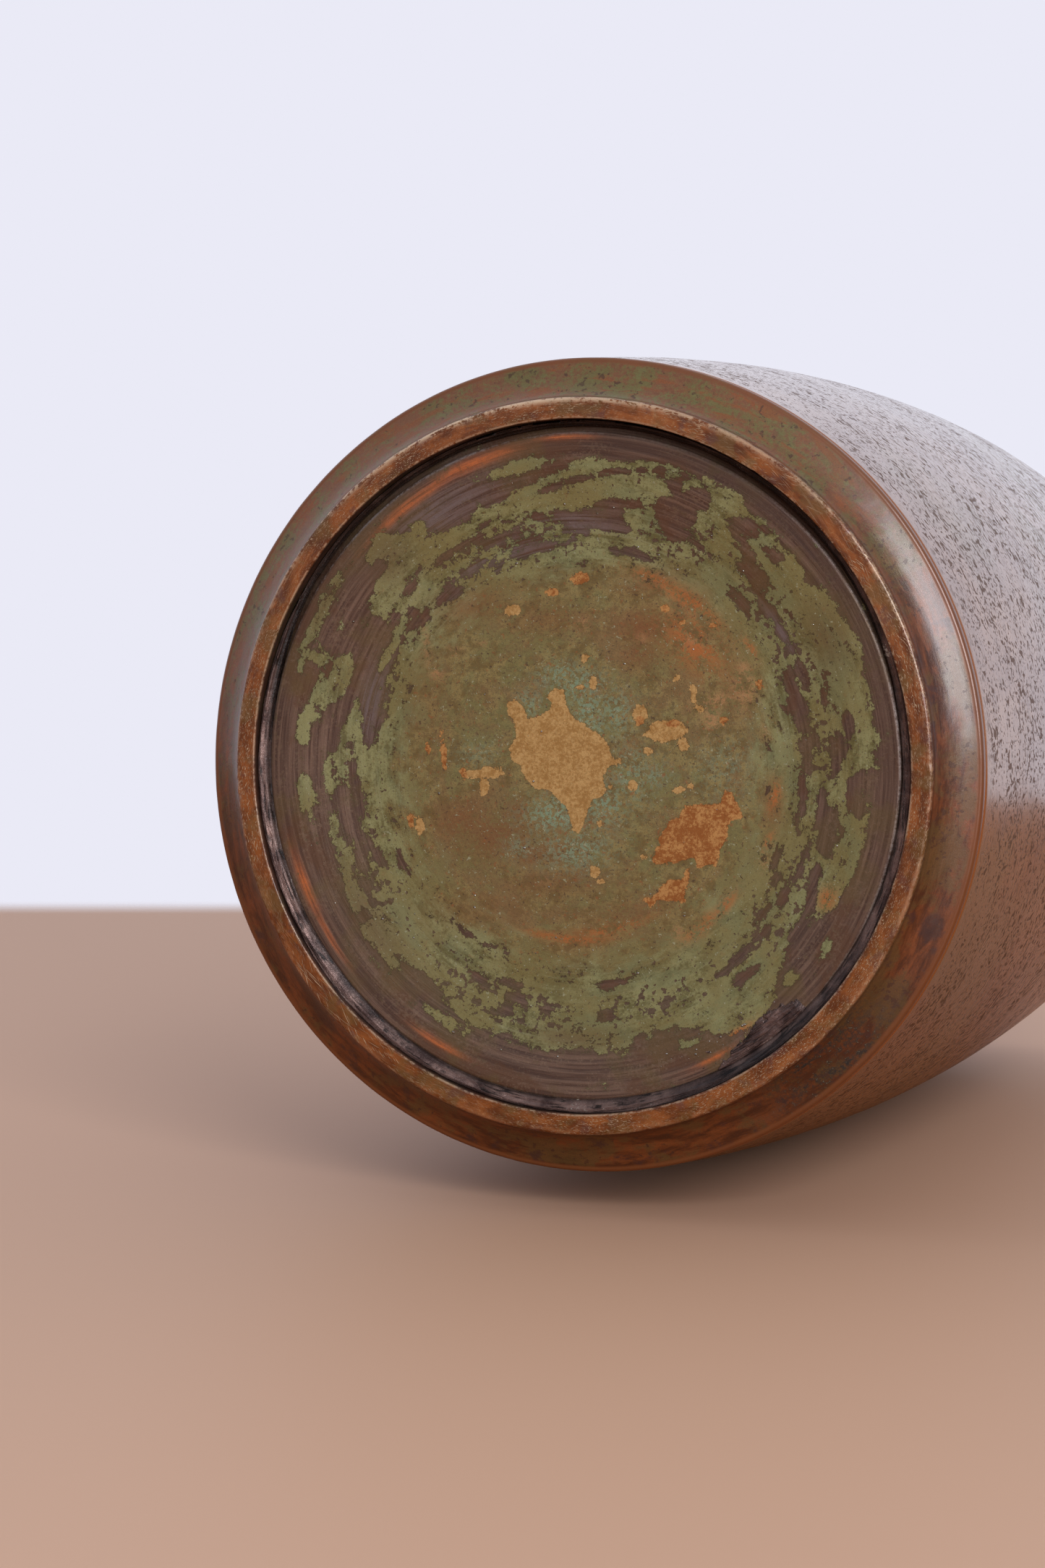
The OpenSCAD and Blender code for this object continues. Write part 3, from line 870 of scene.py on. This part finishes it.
OCHRE = [
    (-13, 0.3, 2.6, 0.8), (-13.6, -1.4, 0.8, 1.4), (-16, 0.4, 0.7, 0.5), (-11.5, 0.8, 0.8, 0.4),
    (-7.3, 21.6, 1.3, 0.8), (2.5, 14.3, 0.7, 0.6), (3.2, 11, 0.6, 0.9), (1.4, 10.4, 0.6, 0.4),
    (9.3, 6.3, 1.1, 1.2), (12.7, 3.7, 3, 1.5), (10, 1.3, 1, 0.5), (14.8, 1.7, 0.8, 1), (16.8, 8, 0.5, 1.3),
    (14.7, 10.4, 0.5, 0.5), (7.3, -3, 0.7, 0.6), (4.3, -3, 0.4, 0.6), (1, -14, 0.8, 0.8),
    (1.9, -15.3, 0.6, 0.35), (8, -12.5, 0.5, 0.4), (13.7, -4.2, 0.8, 0.4), (15.3, -3.9, 0.5, 0.35),
    (-23.4, -6, 0.6, 1.5), (2.7, 24.9, 1, 0.5), (2.3, -7.7, 0.4, 0.4), (17.4, 6.2, 0.9, 0.5),
]
RUST = [
    (-24.6, -5.2, 0.5, 1), (2.9, 24.7, 1.3, 0.9), (-1.3, 23.4, 0.8, 0.5), (-16.4, 0.6, 0.5, 0.8),
    (20.3, 16.7, 0.8, 0.4), (-19, 3, 0.45, 2.3), (-21.2, 4.3, 0.45, 0.9), (9.2, 5.2, 0.6, 0.6),
    (13.5, 4.6, 1.2, 0.5), (20.6, 4.4, 0.6, 0.6), (25.8, 8.5, 0.5, 0.8), (14, 19.6, 0.5, 0.5),
    (16, 17.6, 0.5, 0.4),
]
FAINT = [
    (19, 4.4, 1.3, 2, 1), (20.5, 7, 2.2, 0.8, 1), (23.7, 8.2, 1.6, 2.4, 1), (18, 6.4, 2, 1, 0.9),
    (23.9, 10.7, 0.9, 1, 0.9), (-19, 14.3, 1, 0.7, 0.9), (-16, 17, 1.2, 0.6, 0.9), (-20, 18.4, 0.6, 3, 0.6),
    (11.7, -22.7, 0.8, 0.8, 0.8), (2.5, 18.7, 0.9, 0.9, 0.8), (10.3, 16, 0.8, 0.8, 0.7),
    (-12, 17.6, 1, 0.5, 0.6), (17.5, 15, 1.6, 0.8, 0.6), (24.5, -14.5, 0.8, 1.6, 0.5),
    (-6.5, -14.5, 1, 0.6, 0.5), (26, 2.5, 0.6, 1.4, 0.5),
]
STAINS = [
    (10.7, 17.3, 4, 2.6, 1), (10, 14, 3.2, 2.2, 0.8), (-12, -8.3, 7, 3.8, 0.9), (-8, -8, 3.5, 2.5, 0.6),
    (-9.3, -5.3, 2.2, 1.6, 0.9), (-12.7, 22.7, 6, 2.5, 0.7), (-2, 20, 6, 2.2, 0.6), (26, -7.3, 1.5, 3.2, 0.6),
    (12, 23.3, 4.5, 2, 0.7), (16.7, 15.7, 5, 4, 0.4), (-2, -22.7, 8, 2, 0.45), (-14.7, -18, 8, 3, 0.5),
    (-17, -6, 5, 3.5, 0.8), (17.5, 20.5, 2.5, 2, 0.6), (-20, 10, 3, 8, 0.3), (-5, -15, 9, 2.5, 0.6),
    (-6, -11, 5, 2, 0.8), (22, 8, 2, 6, 0.4), (4, -20, 8, 2, 0.5),
]
TEAL = [
    (2, 6.7, 2.6, 4.5, 1), (1.3, 10.7, 3.5, 2.5, 0.9), (-4, -6, 4.5, 2.6, 1), (3.3, -5.3, 3, 3, 0.9),
    (-1.3, -10.7, 5, 3, 0.8), (7.3, -2, 3, 4, 0.7), (-9.3, -10, 2.2, 1.8, 0.5), (6, 6.7, 2.5, 3.2, 0.8),
    (-1.3, 12.3, 3.4, 1.8, 0.8), (10, -2, 3, 2, 0.6), (-6, 9, 2, 2, 0.7), (20, -2, 4, 4, 0.4),
    (-14, 3, 3, 2, 0.4),
]


def inside_depth(corners, right, up):
    """How far inside an outline a place lies, in mm, and below 0 outside."""
    corners = np.array(corners, float)
    nearest = np.full(right.shape, np.inf)
    inside = np.zeros(right.shape, bool)
    for (x0, y0), (x1, y1) in zip(corners, np.roll(corners, -1, 0)):
        dx, dy = x1 - x0, y1 - y0
        t = np.clip(((right - x0) * dx + (up - y0) * dy) / (dx * dx + dy * dy), 0, 1)
        nearest = np.minimum(nearest, np.hypot(right - x0 - t * dx, up - y0 - t * dy))
        if dy:
            inside ^= ((y0 > up) != (y1 > up)) & (right < x0 + (up - y0) * dx / dy)
    return np.where(inside, nearest, -nearest)


def off_patch(angle, r, at, radius, long, wide, climb=0):
    """How far a place is from a patch's middle, as shares of the patch's half length and half width."""
    turn = (angle - at + 180) % 360 - 180
    return np.radians(turn) * radius / long, (r - radius - climb * turn) / wide


def ring_patches(patches, angle, r):
    """The deepest of some patches that follow the circle: mm inside the patch, and below 0 outside."""
    total = np.full(r.shape, -9.0)
    for patch in patches:
        total = np.maximum(total, (1 - np.hypot(*off_patch(angle, r, *patch))) * min(patch[2:4]))
    return total


def soft_arcs(patches, angle, r):
    """Patches that follow the circle and fade out, each 1 at its middle."""
    return np.exp(-np.min([np.hypot(*off_patch(angle, r, *patch)) ** 2 for patch in patches], 0))


def blots(patches, right, up):
    total = np.full(right.shape, -9.0)
    for x, y, wide, high in patches:
        total = np.maximum(total, (1 - np.hypot((right - x) / wide, (up - y) / high)) * min(wide, high))
    return total


def soft_blots(patches, right, up):
    total = np.zeros(right.shape)
    for x, y, wide, high, strength in patches:
        total = np.maximum(total, strength * np.exp(-(((right - x) / wide) ** 2 + ((up - y) / high) ** 2)))
    return total


def disc_unevenness(around, r):
    """How far the disc's underside stands out from its smooth dish."""
    uneven = 0.10 * layered_noise(around, r / 14, 5, 61, 3) * step(r, 1, 8)
    spin = 0.016 * np.sin(2 * np.pi * (r / 1.35 + 0.25 * lattice_noise(around, r / 9, 7, 71)))
    rim = hump((r - PLATEAU_R) / 0.5) * 0.05
    return (uneven + spin * step(r, 24, 30) + rim) * step(-r, -DISH_START_R, -DISH_START_R + 1.5)


def patinated_base():
    radii = np.linspace(0, DISH_START_R, 132)
    under = np.stack([radii, dish_z(radii)], 1)
    roll = resample(arc([DISH_START_R, FLANGE_Z], FLANGE_Z - ROLL_Z, -80, 0, 10), 0.16)
    flange = np.array([[POCKET_R, FLANGE_Z], [POCKET_R, FLANGE_Z + DISC_T], [ROLL_R, FLANGE_Z + DISC_T]])
    back = np.linspace(DISH_START_R, 0, 9)
    top = np.stack([back, dish_z(back) + DISC_T], 1)
    outline = np.concatenate([under, roll, flange, top])

    def relief(around, r, z):
        below = (np.arange(len(outline)) < len(under))[:, None]
        return below * disc_unevenness(around, r)

    disc, places = lathe("patinated_base", outline, 600, relief, closed=False)
    around, r, z = places.T
    right, up, angle = seen(places)
    wavy_r = r + 0.7 * layered_noise(around, r / 2.4, 48, 171, 3)
    wavy_angle = (angle + 2.2 * layered_noise(around, wavy_r / 2, 56, 181, 3)) % 360
    edge_r = np.interp(wavy_angle, *zip(*LEAF_EDGE))
    bare = step(ring_patches(BARE_PATCHES, wavy_angle, wavy_r), -0.9, 0.7)
    islands = step(ring_patches(LEAF_ISLANDS, wavy_angle, wavy_r), -0.9, 0.7)
    cover = 0.5 - 1.1 * step(wavy_r, edge_r - 1.2, edge_r + 1.2) - 1.1 * bare
    cover = np.maximum(cover, -0.6 + 1.1 * islands)
    flaked = np.clip(ring_patches(SMALL_FLAKES, angle, r) * 0.6, 0, 1) * step(r, 26, 29)
    ochre = np.maximum(inside_depth(OCHRE_PATCH, right, up), blots(OCHRE, right, up))
    rust = np.maximum(inside_depth(RUST_PATCH, right, up), inside_depth(LOW_RUST_PATCH, right, up))
    rust = np.maximum(rust, blots(RUST, right, up))
    upper_right = 0.1 + 0.9 * np.clip(round_bump(angle, 50, 60), 0, 1)
    # The crest of the rolled edge, where a painted highlight runs at the upper left and the right.
    crest = hump((r - ROLL_R + 0.25) / 0.16)
    lit = np.clip(round_bump(angle, 330, 32) + 0.5 * round_bump(angle, 95, 45), 0, 1)
    paint(
        disc,
        disc_patina(),
        cover=np.where(r < PLATEAU_R - 2, 1.5, cover),
        flaked=flaked - 1.2 * step(-r, -28, -24),
        ochre=np.clip(ochre, -3, 3),
        rust=np.clip(rust, -3, 3),
        faint=soft_blots(FAINT, right, up),
        stain=soft_blots(STAINS, right, up),
        teal=soft_blots(TEAL, right, up),
        orange=soft_arcs(ORANGE_ARCS, angle, r),
        olive=soft_arcs(OLIVE_ARCS, angle, r),
        slate=soft_arcs(SLATE_ARCS, angle, r),
        # Painted reflection and painted highlight on the rolled edge.
        glow=soft_arcs(PAINTED_REFLECTION_ARCS, angle, r),
        dark=step(r, 40.5, 43.6) * upper_right,
        shine=crest * lit,
    )
    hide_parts("base_disc")
    return disc


def bead_sunken(turn):
    return np.clip(round_bump(turn, 20, 62) + round_bump(turn, 330, 35), 0, 1)


def solder_bead():
    """An uneven bead in the corner between disc and foot, full and lumpy below and to the left, and
    sunken above."""
    crest = arc([POCKET_R, FLANGE_Z], np.array([SOLDER_W, FLANGE_Z - SOLDER_LOW[2]]), 180, 270, 16)
    outline = np.concatenate([np.array(crest), np.array([[POCKET_R, FLANGE_Z]])])

    def relief(around, r, z):
        crest_points = np.arange(len(outline))[:, None]
        free = crest_points < len(outline) - 1
        turn = np.degrees(seen_angle(around))
        sunken = bead_sunken(turn)
        lumps = 0.16 * layered_noise(around, crest_points / 7, 70, 81, 4)
        ridges = 0.1 * np.sin(crest_points * 0.95 + 5 * lattice_noise(around, 0 * around, 17, 91))
        smooth = 1 - 0.75 * round_bump(turn, 148, 26)
        spread = (1 - sunken) * (0.75 - 0.65 * np.clip(crest_points / 16, 0, 1))
        return free * ((lumps + ridges * 0.7) * smooth - 0.1 - 0.62 * sunken + spread)

    bead, places = lathe("solder_bead", outline, 1080, relief)
    _, r, z = places.T
    _, _, angle = seen(places)
    # Painted shade: near-black where the bead sinks under the ring, and in the crevice next to the disc.
    painted_crevice_shade = step(-r, -44.9, -44.35)
    soot = np.clip(0.85 * bead_sunken(angle) + 0.7 * painted_crevice_shade, 0, 1)
    paint(bead, dark_solder(), soot=soot, slate=round_bump(angle, 148, 26) * step(r, 44.4, 44.9))
    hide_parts("base_solder")
    return bead


def seen_angle(around):
    """The clockwise angle from the top as seen from below, in radians, for a place round the axis."""
    return np.pi / 2 + SEEN_TURN + 2 * np.pi * around + np.pi


def solder_run():
    """Solder that spread in streaks over the disc's rolled edge, and sinks into the disc where thinnest."""
    along_count, across_count = 260, 60
    angle = np.radians(np.linspace(RUN_AT - RUN_HALF, RUN_AT + RUN_HALF, along_count))[:, None]
    r = np.linspace(RUN_IN_R, ROLL_R + 0.5, across_count)[None, :]
    share = np.linspace(0, 1, along_count)[:, None]
    inner_r = RUN_IN_R + 2.9 * np.abs(2 * (share - 0.3)) ** 1.6
    streaks = layered_noise(share * 0.9, (r + 1.4 * share) / 0.42, 9, 101, 3)
    ragged = layered_noise(share, r / 1.1, 24, 111, 4)
    thick = 0.30 * step(r + 0.9 * ragged, inner_r, inner_r + 0.5) + 0.12 * streaks + 0.05 * ragged - 0.06
    thick = np.minimum(thick, 0.4) * step(share, 0, 0.06) * step(-share, -1, -0.94)
    thick = np.where(thick > 0.02, thick, -0.15)
    roll_curve_r = 0.65
    roll = FLANGE_Z - np.sqrt(np.clip(roll_curve_r**2 - (r - DISH_START_R) ** 2, 0, 1))
    under = np.minimum(np.where(r < DISH_START_R, dish_z(r), roll), FLANGE_Z - 0.25)
    front, rear = under - thick, under + 0.35
    grids = [np.stack([r * np.cos(angle), r * np.sin(angle), z + 0 * angle], -1) for z in (front, rear)]
    verts = np.concatenate(grids).reshape(-1, 3) * MM
    index = np.arange(along_count * across_count).reshape(along_count, across_count)
    quads = np.stack([index[:-1, :-1], index[:-1, 1:], index[1:, 1:], index[1:, :-1]], -1).reshape(-1, 4)
    rim = np.concatenate([index[:, 0], index[-1, 1:], index[-2::-1, -1], index[0, -2:0:-1]])
    ahead = np.roll(rim, -1)
    offset = index.size
    sides = np.stack([rim, ahead, ahead + offset, rim + offset], 1)
    faces = np.concatenate([quads, quads[:, ::-1] + offset, sides[:, ::-1]])
    mesh = bpy.data.meshes.new("solder_run")
    mesh.from_pydata(verts.tolist(), [], faces.tolist())
    mesh.update()
    mesh.shade_smooth()
    run = linked("solder_run", mesh)
    soot = np.tile((0.5 * step(-streaks, 0.05, 0.4) + 0 * ragged).ravel(), 2)
    paint(run, bpy.data.materials["old_solder"], soot=soot, slate=np.full(len(verts), 0.35))
    return run


def solder_specks():
    """Tiny splashes of solder and grit, half sunk in the base."""
    draw = np.random.RandomState(131)
    mesh = bpy.data.meshes.new("solder_specks")
    shape = bmesh.new()
    for k in range(170):
        near_run = k % 5 == 0
        turn = math.radians(draw.normal(-122, 9) if near_run else draw.uniform(0, 360))
        r = draw.uniform(38.5, 42.5) if near_run else 40 * math.sqrt(draw.uniform(0.02, 1))
        size = 0.05 + 0.13 * draw.uniform() ** 3
        lean = draw.uniform(0.7, 1.6)
        lift = disc_unevenness(np.array([[turn / (2 * math.pi)]]), np.array([[r]]))[0, 0]
        z = float(dish_z(r)) - lift - 0.2 * size
        place = Matrix.Translation((r * math.cos(turn), r * math.sin(turn), z))
        place = place @ Matrix.Rotation(turn, 4, "Z") @ Matrix.Diagonal((size, size * lean, size * 0.8, 1))
        bmesh.ops.create_icosphere(shape, subdivisions=2, radius=1.0, matrix=Matrix.Scale(MM, 4) @ place)
    shape.to_mesh(mesh)
    shape.free()
    mesh.shade_smooth()
    specks = linked("solder_specks", mesh)
    paint(specks, bare_metal("bright_solder", 4, 4, (206, 204, 196), (120, 112, 98), (0.18, 0.4), 0.04))
    return specks


for piece in (
    hammered_wall(), turned_foot(), patinated_base(), solder_bead(), solder_run(), solder_specks(),
    turned_mouth(),
):
    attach(piece, "root")

braze = bare_metal("braze", 0.8, 6, (196, 150, 92), (146, 100, 56), (0.3, 0.5), 0.05)
for node in ("foot_braze", "mouth_braze"):
    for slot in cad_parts[node].material_slots:
        slot.material = braze

# Floor, lights and camera


def pale_floor():
    """A pale floor under the lying vessel, with a soft far edge. It is open from behind, so that no
    other view is shut off, and its mirror image in the copper is a darker, warmer brown."""
    level = Vector((forward.x, 0, forward.z)).normalized()
    side = Vector((right.x, 0, right.z)).normalized()
    foot_of_camera = Vector((camera_at.x, -BELLY_R * MM - FLOOR_GAP, camera_at.z))
    ends = ((-1, FLOOR_NEAR), (1, FLOOR_NEAR), (1, FLOOR_FAR), (-1, FLOOR_FAR))
    corners = [foot_of_camera + side * a * FLOOR_REACH + level * b for a, b in ends]
    mesh = bpy.data.meshes.new("floor")
    mesh.from_pydata(corners, [], [(0, 1, 2, 3)])
    floor = linked("floor", mesh)
    p = Paint("floor")
    seen_straight = p.new("LightPath").outputs["Is Camera Ray"]
    paint(floor, p.finish(p.mix(seen_straight, (176, 112, 66), (220, 176, 144)), 0.6, 0))
    place = p.vector("SUBTRACT", p.vector("SCALE", p.mm, scale=MM), foot_of_camera)
    edge = p.between(p.vector("DOT_PRODUCT", place, level), FLOOR_FAR - 0.05, FLOOR_FAR)
    hidden = p.most(p.new("NewGeometry").outputs["Backfacing"], edge)
    clear = p.new("BsdfTransparent").outputs[0]
    mixed = p.fill(p.new("MixShader"), hidden, p.shader.outputs[0], clear)
    p.put(p.output.inputs["Surface"], mixed.outputs[0])


def soft_world():
    """Soft white light all round, brightest behind the vessel and dimmer behind the camera."""
    world = bpy.data.worlds.new("soft_room")
    bpy.context.scene.world = world
    n = Nodes(world)
    facing = n.vector("DOT_PRODUCT", n.new("TexCoord").outputs["Generated"], forward)
    sky = n.fill(n.new("Background"), (234, 234, 246), n.between(facing, -0.4, 0.6, ROOM_DIM, 1))
    n.put(n.new("OutputWorld").inputs["Surface"], sky.outputs[0])


def soft_window():
    """One large soft light, up and to the right of the camera."""
    data = bpy.data.lights.new("window", "AREA")
    data.shape, data.size, data.size_y = "RECTANGLE", 0.66, 0.5
    data.energy, data.color = 8.5, (0.95, 0.98, 1.05)
    light = linked("window", data)
    light.location = foot_at + right * 0.34 + upward * 0.34 - forward * 1.05
    light.rotation_mode = "QUATERNION"
    light.rotation_quaternion = (foot_at - light.location).to_track_quat("-Z", "Y")
    light.visible_camera = False


# The camera's own directions in the vessel's frame: it looks a little to one side of +Z, with +Y up.
LOOK_TURN = math.radians(20.66)
LOOK_DOWN = math.radians(2.5)
FLOOR_NEAR, FLOOR_FAR, FLOOR_REACH, FLOOR_GAP = -2, 0.88, 3, 0.0004
ROOM_DIM = 0.35
forward = Vector((
    math.sin(LOOK_TURN) * math.cos(LOOK_DOWN),
    -math.sin(LOOK_DOWN),
    math.cos(LOOK_TURN) * math.cos(LOOK_DOWN),
))
right = forward.cross(Vector((0, 1, 0))).normalized()
upward = right.cross(forward)
centre_at = Vector((0.148, 0.043, 7.117)) * WALL_FOOT_R * MM
foot_at = Vector((0, 0, FOOT_H * MM))
camera_at = foot_at - right * centre_at.x - upward * centre_at.y - forward * centre_at.z


def make_camera():
    data = bpy.data.cameras.new("camera")
    data.lens = 66.4
    data.sensor_width = 36
    data.clip_start, data.clip_end = 0.01, 50
    camera = linked("camera", data)
    turn = Matrix((right, upward, -forward)).transposed().to_4x4()
    camera.matrix_world = Matrix.Translation(camera_at) @ turn
    bpy.context.scene.camera = camera


make_camera()
pale_floor()
soft_world()
soft_window()
bpy.context.scene.view_settings.view_transform = "Standard"
